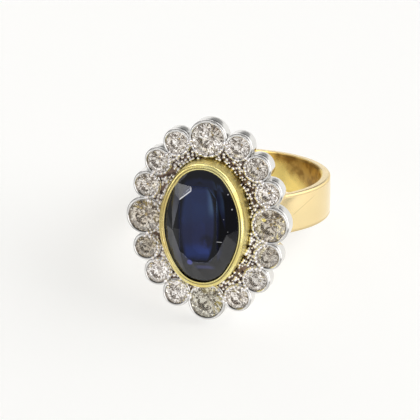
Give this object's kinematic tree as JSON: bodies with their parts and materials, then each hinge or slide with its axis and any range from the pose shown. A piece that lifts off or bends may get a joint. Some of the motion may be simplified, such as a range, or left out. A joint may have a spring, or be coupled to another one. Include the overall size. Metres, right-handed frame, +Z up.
{
  "type": "cluster ring",
  "caption": "Finger ring with a plain gold band, an oval stone in a raised gold bezel and a scalloped halo of round stones in white-metal collets.",
  "frame": {"origin": "on the floor the ring lies on, under the middle of its box", "axes": "+Z up; the ring lies on its side with the face of the head towards -Y and upwards; +X across the finger; the finger hole's axis lies in the YZ plane, 24.2 degrees from +Z towards +Y"},
  "size_m": [0.0195, 0.0244, 0.0199],
  "materials": {
    "yellow_gold": "polished yellow gold",
    "white_gold": "polished white gold",
    "sapphire": "dark blue cut stone",
    "diamond": "clear cut stone"
  },
  "bodies": {
    "root": {"band_and_bezel": "yellow_gold", "halo_setting": "white_gold", "sapphire": "sapphire", "diamond_1": "diamond", "diamond_2": "diamond", "diamond_3": "diamond", "diamond_4": "diamond", "diamond_5": "diamond", "diamond_6": "diamond", "diamond_7": "diamond", "diamond_8": "diamond", "diamond_9": "diamond", "diamond_10": "diamond", "diamond_11": "diamond", "diamond_12": "diamond", "diamond_13": "diamond", "diamond_14": "diamond", "diamond_15": "diamond", "diamond_16": "diamond"}
  },
  "joints": []
}
